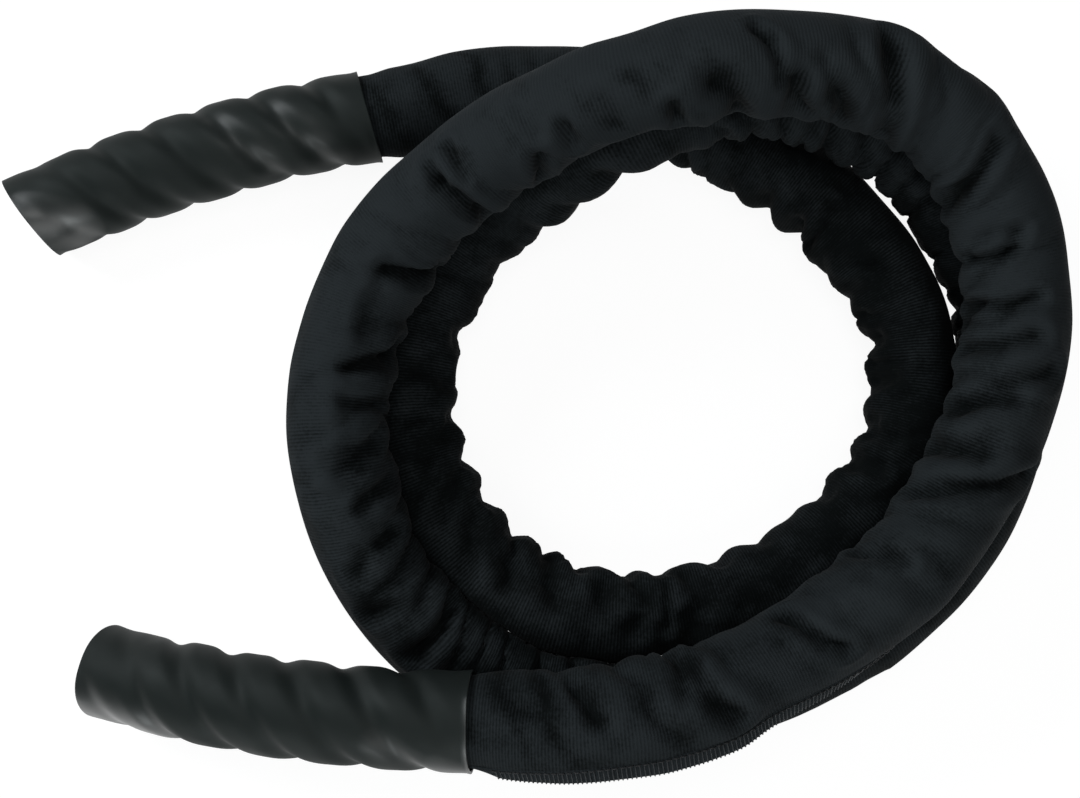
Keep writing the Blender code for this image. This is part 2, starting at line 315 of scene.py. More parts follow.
# Loose cloth fills the narrow gaps between turns, as far as the turn beside it allows. Each puff has its
# middle and half its length along the rope in millimetres, its angle in degrees and its rise in millimetres
puffs = ((1096, 60, 38, 7.5), (1968, 60, 142, 7.0), (1545, 75, 0, 8.0), (2262, 50, 165, -1.2),
         (1221, 60, 165, -2.2), (215, 40, -25, 3.0), (1092, 26, 45, 5.0), (1972, 26, 138, 4.5))
puff_width = 1.1
puffed = np.full(len(rings), sleeve_radius)
for middle, reach, side, rise in puffs:
    along = np.clip(1 - ((distance - middle * MM) / (reach * MM)) ** 2, 0, 1)
    around = np.clip(1 - (centred(angle - radians(side)) / puff_width) ** 2, 0, 1)
    height += rise * MM * along ** 0.5 * around
    puffed += max(rise, 0) * MM * along[:, 0] ** 0.5
radius = edge_radius + snug * (sleeve_radius - edge_radius + loose) + height
cloth = beside(distance, angle, np.maximum(radius, least_radius))

# The planes between this turn and the turns beside it, and the floor, hold the cloth off
furthest = np.clip(radius + 1.0 * MM * spare, edge_radius, widest_cloth)
closest = (18.9 - 3.5 * snug) * MM
touching_turns = 52 * MM
same_turn = 120 * MM
cloth_gap = 0.2 * MM
presses = []
for ring, middle in enumerate(ring_middle):
    apart = np.linalg.norm(ring_middle - middle, axis=1)
    apart[abs(rings - rings[ring]) < same_turn] = 1
    lower = np.concatenate([[1], apart[:-1]])
    upper = np.concatenate([apart[1:], [1]])
    for other in np.nonzero((apart < touching_turns) & (apart <= lower) & (apart <= upper))[0]:
        share = puffed[ring] / (puffed[ring] + puffed[other])
        presses.append((ring, *((ring_middle[other] - middle) / apart[other]),
                        apart[other] * share - cloth_gap))
press_ring = np.array([press[0] for press in presses])
press_axis = np.array([press[1:4] for press in presses])
press_reach = np.array([press[4] for press in presses])


def past_planes(cloth):
    """How far each row of cloth at a plane has passed it; less than zero is still short of it."""
    return (np.einsum("nsk,nk->ns", cloth[press_ring] - ring_middle[press_ring][:, None], press_axis)
            - press_reach[:, None])


def hold_off(cloth):
    """Keeps the cloth outside the rope, off the turns beside it and above the floor."""
    away = cloth - ring_middle[:, None]
    along = np.sum(away * ring_ahead[:, None], axis=2)
    away = cloth - along_rope(distance + along, rope_line)
    reach = np.linalg.norm(away, axis=2)
    cloth += away * ((np.clip(reach, closest, furthest) - reach) / reach)[..., None]
    over = np.maximum(0, past_planes(cloth))
    np.subtract.at(cloth, press_ring, over[..., None] * press_axis[:, None])
    cloth[..., 2] = np.maximum(cloth[..., 2], cloth_gap)


def draw(near, far, rest, stiffness):
    """Moves pairs of points towards their rest distance, and returns the move of each near point."""
    gap = far - near
    length = np.sqrt(np.einsum("...k,...k", gap, gap))
    return gap * (stiffness * 0.5 * (length - rest) / length)[..., None]


# The cloth is relaxed as a net of threads. Each thread along the tube is longer than its place by the spare
# cloth that was gathered there, and a light pressure fills the folds.
rounds = 40
along_pull, slant_pull, round_pull = 0.9, 0.12, 0.5
pressure = 0.012 * MM
evening = 0.02
along_rest = np.linalg.norm(np.diff(cloth, axis=0), axis=2) * (1 + 0.04 * spare[1:])
round_rest = np.linalg.norm(np.roll(cloth, -1, axis=1) - cloth, axis=2)
round_rest = round_rest.mean(axis=1, keepdims=True) * 0.5 + round_rest * 0.5
diagonal = np.hypot(along_rest, round_rest[1:])
pinned = snug[:, 0] == 0
start_cloth = cloth.copy()
for step in range(rounds):
    for first in (0, 1):
        near, far = cloth[first:len(rings) - 1:2], cloth[first + 1::2]
        move = draw(near, far, along_rest[first::2], along_pull)
        near += move
        far -= move
        for turn in (-1, 1):
            move = draw(near, np.roll(far, turn, axis=1), diagonal[first::2], slant_pull)
            near += move
            far -= np.roll(move, -turn, axis=1)
    for first in (0, 1):
        near, far = cloth[:, first::2], np.roll(cloth[:, 1 - first::2], -first, axis=1)
        move = draw(near, far, round_rest[:, first::2], round_pull)
        near += move
        cloth[:, 1 - first::2] -= np.roll(move, first, axis=1)
    ahead = np.zeros_like(cloth)
    ahead[1:-1] = cloth[2:] - cloth[:-2]
    across = np.roll(cloth, -1, axis=1) - np.roll(cloth, 1, axis=1)
    out = np.cross(across, ahead)
    out /= np.maximum(np.linalg.norm(out, axis=2), 1e-12)[..., None]
    cloth += out * (pressure * snug)[..., None]
    even = np.zeros_like(cloth)
    even[1:-1] = (cloth[2:] + cloth[:-2]) / 2 - cloth[1:-1]
    cloth += evening * even
    cloth[pinned] = start_cloth[pinned]
    hold_off(cloth)

# The larger folds lie where the photograph shows them: a fold's half width and its rise in millimetres, then
# the places that it runs through, along the rope in millimetres and round it in degrees. A dent pushes up a
# soft lip at each side.
folds = (
    (6, -4.5, 196, 56, 202, 73), (6, -4.5, 222, 39, 228, 56, 230, 79), (6, -5.2, 268, 6, 268, 45, 266, 68),
    (6.5, -7.2, 276, 34, 276, 68, 280, 96, 284, 112), (5.8, 2.1, 282, 56, 286, 84, 290, 107),
    (5, -7.2, 322, 39, 328, 73, 332, 96, 338, 112), (5.2, 2.2, 332, 62, 338, 90, 342, 107),
    (8, 1.9, 342, 62, 350, 62, 358, 73, 364, 90, 366, 112), (4.5, -5.2, 366, 11, 374, 51, 380, 73),
    (6, -6.5, 406, 22, 414, 51, 424, 84, 434, 118, 440, 152),
    (5.2, 2.2, 418, 22, 426, 62, 434, 90, 444, 141), (8, -5.9, 434, 6, 436, 45, 438, 73),
    (7, -5.9, 454, 28, 460, 51, 464, 79), (4.6, 1.6, 464, 68, 470, 96, 472, 107),
    (6, -5.2, 468, 68, 474, 90, 480, 118), (6, -6.5, 486, 11, 488, 56, 492, 79, 494, 90),
    (6, -5.2, 502, -11, 508, 22), (4.5, -5.2, 510, -6, 510, 39, 508, 62, 512, 90),
    (4.5, -5.2, 534, 22, 534, 56, 538, 73, 544, 79), (8, -3.2, 568, 51, 564, 17),
    (6.5, -7.5, 586, 92, 582, 73, 578, 56, 572, 34, 564, -8),
    (6.2, 1.7, 590, 102, 588, 90, 584, 68, 580, 45, 572, 17), (10.3, 0.8, 592, 112, 592, 150),
    (18, -2.2, 611, 140, 611, 190), (3.2, 1, 620, 22, 586, 17),
    (6.0, 2.5, 631, 100, 632, 84, 630, 56, 632, 34, 624, -11), (10.3, 0.9, 631, 108, 630, 150),
    (7.5, -8, 642, 105, 640, 79, 636, 51, 632, 28, 626, -11), (8.5, -8, 661, 36, 656, 20, 652, -5),
    (5, -3, 671, 75, 667, 45), (8, -7.5, 682, 51, 680, 28, 674, 5),
    (4, -5.2, 698, 107, 692, 90, 690, 68, 690, 51), (10, -8.5, 712, 51, 706, 28, 704, 6, 703, -14),
    (8, -2.5, 724, 85, 720, 70, 716, 55), (4.5, -6, 732, 40, 731, 5), (8, -2.5, 741, 85, 737, 65),
    (7, -3, 755, 70, 753, 45, 753, 30), (5, -5, 772, 55, 774, 30), (5, -3, 788, 95, 784, 65),
    (5, -6, 790, 35, 798, -5), (4, -4.5, 824, 107, 824, 84, 824, 68),
    (5.5, 2.2, 830, 96, 828, 68, 826, 45, 826, 22, 824, 0), (4, -5.2, 834, 101, 836, 84),
    (6.5, -7.2, 836, 79, 832, 56, 832, 22, 834, -11), (5.3, 1.8, 878, 84, 872, 79, 872, 56, 870, 22),
    (5.2, 2.1, 878, 84, 896, 79, 908, 84, 920, 79, 930, 79, 940, 84, 952, 84, 968, 84, 976, 84),
    (7, -6.5, 884, 68, 880, 39, 872, 0), (8, -3.2, 896, 68, 908, 68, 920, 62),
    (6.5, -7.2, 936, 73, 932, 51, 928, 17, 920, 6), (5, -5.2, 952, 73, 952, 22),
    (6.5, -7.2, 978, 79, 976, 62, 972, 34), (5.2, 2.1, 982, 101, 988, 84, 996, 79, 1004, 79, 1016, 79),
    (6, -5.9, 996, 73, 992, 56, 990, 22), (6, -6.5, 1022, 107, 1016, 79, 1012, 45),
    (5, -5.2, 1042, 124, 1042, 90), (6.5, -6.5, 1066, 112, 1064, 79, 1062, 51),
    (4, 2.2, 1562, 34, 1550, 39, 1538, 34, 1528, 39), (8, -4.5, 1852, 96, 1852, 45),
    (4, -3.9, 1874, 107, 1876, 62), (7, -5.9, 1892, 90, 1886, 68, 1884, 45),
    (5.5, -6.5, 1920, 101, 1914, 84, 1906, 51), (5.5, -6.5, 1944, 118, 1936, 84, 1928, 56),
    (5, -5.9, 1960, 96, 1956, 73, 1954, 45), (6.5, -6.5, 1982, 90, 1978, 62, 1974, 28),
    (7, -5.9, 2004, 84, 2006, 68, 2006, 51), (6, -5.2, 2018, 112, 2020, 101),
    (6, -5.2, 2028, 79, 2024, 62, 2020, 51), (4, -6.5, 2032, 112, 2034, 79, 2034, 56),
    (4, 1.6, 2032, 62, 2030, 96), (8, -5.9, 2044, 124, 2042, 107), (7, -6.5, 2052, 90, 2050, 68, 2046, 45),
    (6, -5.9, 2148, 39, 2152, 73), (5, -5.2, 2168, 39, 2168, 73), (6, -5.2, 2200, 11, 2202, 51),
    (4, -5.9, 2208, 11, 2208, 51, 2208, 68), (5, -4.5, 2238, 17, 2230, 62), (6, -4.5, 2268, 51, 2258, 79),
    (4, -5.9, 2294, 79, 2290, 56, 2288, 17), (4.6, 2.2, 2296, 73, 2292, 45, 2292, 17),
)
# The pillows round the hole are parted by these creases: their place along the rope and how deep they are
creases = (
    (1699, 4), (1728, 3), (1753, 3.5), (1785, 3), (1829, 4), (1874, 4), (1898, 4.5), (1923, 3.5),
    (1948, 4.5), (1968, 3.5), (1987, 3), (2013, 5), (2030, 4), (2061, 5), (2085, 2.5), (2126, 4), (2151, 4),
    (2171, 5.5), (2196, 2.5), (2221, 5), (2252, 2), (2295, 6), (2317, 4),
)
folds += tuple((8, -depth, place - 2, -40, place, 0, place + 3, 28) for place, depth in creases)
lip_share, lip_place, lip_width = 0.22, 1.5, 0.45
fold_height = np.zeros_like(distance)
fold_light = np.zeros_like(distance)
wandering = distance + 1.0 * MM * soft_noise(distance, angle, cell=9 * MM, cells_round=13, seed=19)
for width, rise, *line in folds:
    rows = slice(*(np.searchsorted(rings, (edge(line[::2]) + 3 * side * width) * MM)
                   for edge, side in ((min, -1), (max, 1))))
    nearest = fold_distance(wandering[rows], angle[rows], line) / width
    if rise < 0:
        mark = np.clip(1 - nearest, 0, 1) ** 1.4
        lip = lip_share * np.exp(-((nearest - lip_place) / lip_width) ** 2)
    else:
        mark = np.clip(1 - nearest ** 2, 0, 1) ** 2
        lip = 0
    fold_height[rows] += rise * MM * (mark - lip)
    # Each fold also paints shade into its valley and light onto its ridge
    fold_light[rows] += np.clip(rise / 7.5, -1, 0.6) * mark ** 0.7
# Where folds meet, their lips don't pile up into points
highest_lip = 2.2 * MM
fold_height = np.where(fold_height > 0, highest_lip * np.tanh(fold_height / highest_lip), fold_height)
away = cloth - ring_middle[:, None]
away -= np.sum(away * ring_ahead[:, None], axis=2)[..., None] * ring_ahead[:, None]
cloth += away / np.linalg.norm(away, axis=2)[..., None] * fold_height[..., None]
furthest = np.minimum(furthest + np.maximum(fold_height, 0), widest_ridge)
hold_off(cloth)

# A plain lining inside the folded cloth closes the tube's wall
lining_step = 14 * MM
lining_rings = np.append(np.arange(sleeve_start, sleeve_end - lining_step / 2, lining_step), rings[-1])
lining_snug = np.interp(lining_rings, rings, snug[:, 0])[:, None]
lining = beside(lining_rings[:, None], sides[None, :], (18.7 - 3.6 * lining_snug) * MM)
points = np.concatenate([cloth.reshape(-1, 3), lining.reshape(-1, 3)])


def tube_faces(ring_count, side_count, first, inwards=False):
    """Faces of a tube whose rings of points follow each other from the first point on."""
    here = first + np.arange((ring_count - 1) * side_count).reshape(-1, side_count)
    after = np.roll(here, -1, axis=1)
    faces = np.stack([here, after, after + side_count, here + side_count], axis=-1).reshape(-1, 4)
    return (faces[:, ::-1] if inwards else faces).tolist()


def rim_faces(outer, inner, side_count, inwards=False):
    """A ring of faces between an outer and an inner ring of points."""
    side = np.arange(side_count)
    after = (side + 1) % side_count
    faces = np.stack([outer + side, inner + side, inner + after, outer + after], axis=-1)
    return (faces[:, ::-1] if inwards else faces).tolist()


first_lining = cloth.shape[0] * sleeve_sides
last_cloth = first_lining - sleeve_sides
last_lining = len(points) - sleeve_sides
faces = (tube_faces(len(rings), sleeve_sides, 0, inwards=True)
         + tube_faces(len(lining_rings), sleeve_sides, first_lining)
         + rim_faces(0, first_lining, sleeve_sides, inwards=True)
         + rim_faces(last_cloth, last_lining, sleeve_sides))


def add_node(tree, kind, inputs=None, **settings):
    """A new node in a tree, with its settings and the values of its inputs."""
    node = tree.nodes.new(kind)
    for name, value in settings.items():
        setattr(node, name, value)
    for name, value in (inputs or {}).items():
        node.inputs[name].default_value = value
    return node


def add_ramp(tree, *stops):
    """A colour ramp from one place and colour to another."""
    ramp = tree.nodes.new("ShaderNodeValToRGB")
    for element, (place, colour) in zip(ramp.color_ramp.elements, stops):
        element.position = place
        element.color = (*colour, 1)
    return ramp


def join(tree, *links):
    """Links a node's output to another node's input, for each of the given links."""
    for start, output, end, entry in links:
        tree.links.new(start.outputs[output], end.inputs[entry])


def new_material(name, colour, values):
    """A material with a colour and the values of its shader's other inputs."""
    material = bpy.data.materials.new(name)
    material.use_nodes = True
    shader = material.node_tree.nodes["Principled BSDF"]
    for entry, value in {"Base Color": (*colour, 1), **values}.items():
        shader.inputs[entry].default_value = value
    return material, material.node_tree, shader


def paint(piece, name, values):
    """A value for each point of a piece, which its material reads by name."""
    layer = piece.data.attributes.new(name, "FLOAT", "POINT")
    layer.data.foreach_set("value", np.asarray(values, dtype=np.float32))


def corner_points(mesh):
    """Which point each corner of a mesh's faces lies on."""
    point_of_corner = np.zeros(len(mesh.loops), dtype=np.int32)
    mesh.loops.foreach_get("vertex_index", point_of_corner)
    return point_of_corner


def lay_weave(piece, along, across):
    """Lays the weave on a piece: a place along and across the cloth for each corner of its faces."""
    layer = piece.data.uv_layers.new(name="cloth")
    layer.data.foreach_set("uv", np.stack([along, across], axis=1).ravel().astype(np.float32))


# Cloth: fine ribs across the tube from the weave, with a painted highlight on the ribs, a mottled black, and
# painted shading: lighter where light falls, darker in shade.
# A wave with a scale of TURN / 20 has one rib in each metre.
rib_pitch = 1.35 * MM
thread_pitch = 1.0 * MM
cloth_material, tree, shader = new_material("ribbed_cloth", (0.011, 0.014, 0.0155), {
    "Roughness": 0.85, "Specular IOR Level": 0.05, "Sheen Weight": 0.02, "Sheen Roughness": 0.5})
uv = add_node(tree, "ShaderNodeUVMap", uv_map="cloth")
coordinates = add_node(tree, "ShaderNodeTexCoord")
ribs = add_node(tree, "ShaderNodeTexWave", {
    "Scale": TURN / 20 / rib_pitch, "Distortion": 0.8, "Detail": 2, "Detail Scale": 1.5}, bands_direction="X")
threads = add_node(tree, "ShaderNodeTexWave", {"Scale": TURN / 20 / thread_pitch, "Distortion": 1.0},
                   bands_direction="Y")
weave = add_node(tree, "ShaderNodeMath", {1: 0.3}, operation="MULTIPLY_ADD")
relief = add_node(tree, "ShaderNodeBump", {"Strength": 0.4, "Distance": 0.3 * MM})
mottle = add_node(tree, "ShaderNodeTexNoise", {"Scale": 60, "Detail": 6})
fibre = add_node(tree, "ShaderNodeTexNoise", {"Scale": 700, "Detail": 2})
# The painted_shading attribute lightens the colour as painted light and darkens it as painted shade
painted_shading = add_node(tree, "ShaderNodeAttribute", attribute_name="painted_shading")
shading_and_mottle = add_node(tree, "ShaderNodeMath", {1: 1.05}, operation="MULTIPLY_ADD")
spread = add_node(tree, "ShaderNodeMath", {1: 1.15}, operation="MULTIPLY_ADD")
# Painted highlight on the ribs: the ribs make the colour lighter, standing in for their lit crests
painted_rib_light = add_node(tree, "ShaderNodeMath", operation="MULTIPLY")
on_ribs = add_node(tree, "ShaderNodeMath", {1: 0.95}, operation="MULTIPLY_ADD")
lower = add_node(tree, "ShaderNodeMath", {1: 1.29}, operation="SUBTRACT")
shade = add_ramp(tree, (0.1, (0.0035, 0.0048, 0.0050)), (1.0, (0.0200, 0.0245, 0.0270)))
join(tree, (uv, "UV", ribs, "Vector"), (uv, "UV", threads, "Vector"), (threads, "Fac", weave, 0),
     (ribs, "Fac", weave, 2), (weave, 0, relief, "Height"), (relief, "Normal", shader, "Normal"),
     (coordinates, "Object", mottle, "Vector"), (coordinates, "Object", fibre, "Vector"),
     (mottle, "Fac", spread, 0), (fibre, "Fac", lower, 0), (lower, 0, spread, 2), (painted_shading, "Fac", shading_and_mottle, 0),
     (spread, 0, shading_and_mottle, 2), (ribs, "Fac", painted_rib_light, 0), (mottle, "Fac", painted_rib_light, 1), (painted_rib_light, 0, on_ribs, 0),
     (shading_and_mottle, 0, on_ribs, 2), (on_ribs, 0, shade, "Fac"), (shade, "Color", shader, "Base Color"))

sleeve = new_piece("woven_sleeve", points, faces, cloth_material)
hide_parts("sleeve")

# Painted shading: the colour is lighter on the crests, on the upper turns and near grip B as painted light,
# and darker in the valleys and where the next turn is close as painted shade.
# The table gives how much painted light each stretch along the rope gets
full_light_height = 95 * MM
shade_reach = 9 * MM
deepest_shade = 0.85
near_grip_b = np.clip((distance - 2300 * MM) / (80 * MM), 0, 0.8)
lit_by_height = np.clip(np.maximum(cloth[..., 2] / full_light_height, near_grip_b), 0, 1)
# Painted shade in the valleys and painted light on the fold ridges, and the colour lighter the higher the
# cloth lies
painted_lightness = (1 - 0.95 * np.clip(deep - fold_light, 0, 1)) * (0.05 + 0.95 * lit_by_height)
painted_lightness += 0.3 * np.clip(fold_light, 0, 1)
shaded_by_turn = np.zeros_like(distance)
# Painted shade where the next turn lies close
np.maximum.at(shaded_by_turn, press_ring, np.clip(1 + past_planes(cloth) / shade_reach, 0, 1))
painted_lightness *= 1 - deepest_shade * shaded_by_turn
# Painted light and shade along the rope: the stretch in the upper turn's shadow is darker, the crown lighter
painted_light_places = np.array((100, 220, 340, 480, 560, 760, 960, 1600, 1750, 2050, 2120, 2260, 2330)) * MM
painted_lightness *= np.interp(distance, painted_light_places,
                   (0.75, 0.75, 1.0, 1.0, 1.22, 1.22, 1.1, 1.0, 0.8, 0.8, 0.3, 0.3, 1.0))
paint(sleeve, "painted_shading", np.concatenate([painted_lightness.ravel(), np.zeros(lining.shape[0] * sleeve_sides)]))

# The weave goes on past the last side of the tube, so that it doesn't run back over one row of faces
point_of_corner = corner_points(sleeve.data)
side_of_point = np.arange(len(points)) % sleeve_sides
side_of_corner = side_of_point[point_of_corner].reshape(-1, 4)
wraps = (side_of_corner.max(axis=1) == sleeve_sides - 1) & (side_of_corner.min(axis=1) == 0)
side_of_corner = np.where(wraps[:, None] & (side_of_corner == 0), sleeve_sides, side_of_corner).ravel()
along_of_point = np.concatenate([distance.ravel(), np.repeat(lining_rings, sleeve_sides)])
lay_weave(sleeve, along_of_point[point_of_corner], side_of_corner / sleeve_sides * TURN * sleeve_radius)

# ---------------------------------------------------------------- Sewn edge of the sleeve
# The cloth's two edges are turned out and overlocked into a flat fin, and a row of straight stitches closes
# the tube along the fin's foot. It shows on the outside of the first turn and then passes under it.
seam_rows = np.arange(sleeve_start + 4 * MM, sleeve_end - 6 * MM, 2 * MM)
# The fin's place along the rope in millimetres, its angle in degrees and how far it stands up
fin_course = np.array((
    (170, 160, 0.10), (180, 158, 0.15), (208, 147, 0.20), (230, 139, 0.25), (256, 135, 0.25),
    (280, 141, 0.25), (300, 154, 0.30), (320, 166, 0.35), (336, 177, 0.30), (352, 192, 0.20),
    (380, 214, 0.10), (430, 231, 0.10), (480, 236, 0.10), (2700, 236, 0.10),
))
fin_angle = np.interp(seam_rows, fin_course[:, 0] * MM, np.radians(fin_course[:, 1]))
fin_stand = np.interp(seam_rows, fin_course[:, 0] * MM, fin_course[:, 2])
from_edge = np.minimum(seam_rows - sleeve_start, sleeve_end - seam_rows)
fin_size = np.clip((from_edge - 6 * MM) / (16 * MM), 0.3, 1)

ring_place = (seam_rows - rings[0]) / sleeve_step
side_place = fin_angle / TURN * sleeve_sides
ring_low, side_low = ring_place.astype(int), side_place.astype(int)
ring_part, side_part = (ring_place - ring_low)[:, None], (side_place - side_low)[:, None]


def cloth_at(ring):
    """The cloth on one ring for each row of the fin, at the fin's angle."""
    return cloth[ring, side_low] * (1 - side_part) + cloth[ring, side_low + 1] * side_part


foot = cloth_at(ring_low) * (1 - ring_part) + cloth_at(ring_low + 1) * ring_part
for step in range(4):
    foot[1:-1] = (foot[:-2] + 2 * foot[1:-1] + foot[2:]) / 4
seam_ahead = unit(np.gradient(foot, axis=0))
radial = foot - beside(seam_rows, 0, 0)
radial = unit(radial - seam_ahead * np.sum(radial * seam_ahead, axis=1)[:, None])
wrap = np.cross(seam_ahead, radial)
lean = np.sqrt(1 - fin_stand ** 2)
fin_across = radial * fin_stand[:, None] + wrap * lean[:, None]
fin_across = unit(fin_across + seam_ahead * 0.1 * np.sin(seam_rows / (9 * MM))[:, None])
fin_out = unit(np.cross(fin_across, seam_ahead))
# The fin's section: places across and out of it, from its foot on the cloth to its rounded edge
fin_section = np.array(((-0.9, -0.9), (3.0, -1.0), (6.2, -0.8), (6.7, 0),
                        (6.2, 0.8), (3.0, 1.0), (-0.9, 0.9), (-1.3, 0))) * (MM, 0.7 * MM)
fin = foot[:, None] + (fin_across[:, None] * fin_section[None, :, :1]
                       + fin_out[:, None] * fin_section[None, :, 1:]) * fin_size[:, None, None]
fin[..., 2] = np.maximum(fin[..., 2], 0.3 * MM)


def closed_tube(tube, inwards=False):
    """Points and faces of a tube of rings, closed at both ends with a fan of faces round a middle point."""
    ring_count, side_count = tube.shape[:2]
    points = np.concatenate([tube.reshape(-1, 3), tube[:1].mean(axis=1), tube[-1:].mean(axis=1)])
    faces = tube_faces(ring_count, side_count, 0, inwards)
    last, middle = (ring_count - 1) * side_count, ring_count * side_count
    for side in range(side_count):
        after = (side + 1) % side_count
        for face in ((middle, side, after), (middle + 1, last + after, last + side)):
            faces.append(face[::-1] if inwards else face)
    return points, faces


fin_points, fin_faces = closed_tube(fin)
fin_piece = new_piece("sewn_edge", fin_points, fin_faces, cloth_material)
point_of_corner = corner_points(fin_piece.data)
along_of_point = np.append(np.repeat(seam_rows, len(fin_section)), seam_rows[[0, -1]])
across_of_point = np.append(np.tile(fin_section[:, 0], len(fin)), (0, 0))
lay_weave(fin_piece, along_of_point[point_of_corner], across_of_point[point_of_corner])
# The fin gets almost full painted light
paint(fin_piece, "painted_shading", np.full(len(fin_points), 0.95))


def node_group(name, kind, inputs, outputs):
    """A group with named inputs and outputs, and its nodes for what goes in and what comes out."""
    tree = bpy.data.node_groups.new(name, kind)
    for way, sockets in (("INPUT", inputs), ("OUTPUT", outputs)):
        for label, what in sockets.items():
            tree.interface.new_socket(name=label, in_out=way, socket_type="NodeSocket" + what)
    return tree, tree.nodes.new("NodeGroupInput"), tree.nodes.new("NodeGroupOutput")


# A loop of thread stands on each place along the seam and is turned as the seam runs there
stitch_tree, given, result = node_group("row_of_stitches", "GeometryNodeTree", {
    "Seam": "Geometry", "Pitch": "Float", "Width": "Float", "Height": "Float", "Thread": "Float",
    "Finish": "Material"}, {"Stitches": "Geometry"})
to_curve = add_node(stitch_tree, "GeometryNodeMeshToCurve")
spaced = add_node(stitch_tree, "GeometryNodeResampleCurve", mode="LENGTH")
loop = add_node(stitch_tree, "GeometryNodeCurvePrimitiveQuadrilateral")
rounded = add_node(stitch_tree, "GeometryNodeFilletCurve", {"Count": 1, "Radius": 0.5 * MM}, mode="POLY")
yarn = add_node(stitch_tree, "GeometryNodeCurvePrimitiveCircle", {"Resolution": 4})
sweep = add_node(stitch_tree, "GeometryNodeCurveToMesh")
place = add_node(stitch_tree, "GeometryNodeInstanceOnPoints")
loop_axis, wide_axis = (
    add_node(stitch_tree, "GeometryNodeInputNamedAttribute", {"Name": label}, data_type="FLOAT_VECTOR")
    for label in ("loop_axis", "wide_axis"))
axes = add_node(stitch_tree, "FunctionNodeAxesToRotation", primary_axis="Z", secondary_axis="X")
real = add_node(stitch_tree, "GeometryNodeRealizeInstances")
finish = add_node(stitch_tree, "GeometryNodeSetMaterial")
join(stitch_tree, (given, "Seam", to_curve, "Mesh"), (to_curve, "Curve", spaced, "Curve"),
     (given, "Pitch", spaced, "Length"), (given, "Width", loop, "Width"), (given, "Height", loop, "Height"),
     (given, "Thread", yarn, "Radius"), (loop, "Curve", rounded, "Curve"), (rounded, "Curve", sweep, "Curve"),
     (yarn, "Curve", sweep, "Profile Curve"), (spaced, "Curve", place, "Points"),
     (sweep, "Mesh", place, "Instance"), (loop_axis, "Attribute", axes, "Primary Axis"),
     (wide_axis, "Attribute", axes, "Secondary Axis"), (axes, "Rotation", place, "Rotation"),
     (place, "Instances", real, "Geometry"), (real, "Geometry", finish, "Geometry"),
     (given, "Finish", finish, "Material"), (finish, "Geometry", result, "Stitches"))


def row_of_stitches(name, line, loop_axis, wide_axis, material, **sizes):
    """Sews a row of thread loops along a line, and returns it as a plain mesh piece."""
    path = bpy.data.meshes.new(name + "_path")
    path.from_pydata([tuple(point) for point in line], [(k, k + 1) for k in range(len(line) - 1)], [])
    for label, vectors in (("loop_axis", loop_axis), ("wide_axis", wide_axis)):
        values = path.attributes.new(label, "FLOAT_VECTOR", "POINT")
        values.data.foreach_set("vector", vectors.astype(np.float32).ravel())
    carrier = bpy.data.objects.new(name + "_path", path)
    scene.collection.objects.link(carrier)
    modifier = carrier.modifiers.new("stitches", "NODES")
    modifier.node_group = stitch_tree
    given_values = {"Finish": material, **sizes}
    for entry in stitch_tree.interface.items_tree:
        if entry.item_type == "SOCKET" and entry.in_out == "INPUT" and entry.name in given_values:
            modifier[entry.identifier] = given_values[entry.name]
    sewn = bpy.data.meshes.new_from_object(carrier.evaluated_get(bpy.context.evaluated_depsgraph_get()))
    bpy.data.objects.remove(carrier)
    for vertex in sewn.vertices:
        vertex.co.z = max(vertex.co.z, 0.15 * MM)
    return place_piece(name, sewn)


# The fine grain that thread, fibre, tape and film share, each with its own values
grain_tree, given, result = node_group("fine_grain", "ShaderNodeTree", {
    "Scale": "Float", "Detail": "Float", "Strength": "Float", "Distance": "Float"}, {
    "Grain": "Float", "Normal": "Vector"})
coordinates = add_node(grain_tree, "ShaderNodeTexCoord")
grain = add_node(grain_tree, "ShaderNodeTexNoise")
relief = add_node(grain_tree, "ShaderNodeBump")
join(grain_tree, (coordinates, "Object", grain, "Vector"), (given, "Scale", grain, "Scale"),
     (given, "Detail", grain, "Detail"), (grain, "Fac", relief, "Height"),
     (given, "Strength", relief, "Strength"), (given, "Distance", relief, "Distance"),
     (grain, "Fac", result, "Grain"), (relief, "Normal", result, "Normal"))


def add_grain(tree, shader, scale, detail, strength, distance):
    """Places the fine grain in a material with its own values, and links its normal."""
    grain = add_node(tree, "ShaderNodeGroup", node_tree=grain_tree, inputs={
        "Scale": scale, "Detail": detail, "Strength": strength, "Distance": distance})
    join(tree, (grain, "Normal", shader, "Normal"))
    return grain


pale_thread, tree, shader = new_material("overlock_thread", (0.026, 0.031, 0.034), {"Roughness": 0.7})
add_grain(tree, shader, scale=2500, detail=2, strength=0.4, distance=0.1 * MM)
dark_thread, tree, shader = new_material("stitch_thread", (0.006, 0.007, 0.008), {"Roughness": 0.6})
add_grain(tree, shader, scale=2500, detail=2, strength=0.4, distance=0.1 * MM)
sewn = fin_size > 0.95
overlock_line = foot + fin_across * 3.3 * MM
overlock = row_of_stitches(
    "overlock_loops", overlock_line[sewn], seam_ahead[sewn], fin_across[sewn], pale_thread,
    Pitch=1.9 * MM, Width=6.9 * MM, Height=1.75 * MM, Thread=0.3 * MM)
closing_line = foot + fin_out * 0.75 * MM - fin_across * 0.3 * MM
closing = row_of_stitches(
    "closing_stitches", closing_line[sewn], fin_across[sewn], seam_ahead[sewn], dark_thread,
    Pitch=3.2 * MM, Width=2.4 * MM, Height=1.0 * MM, Thread=0.32 * MM)

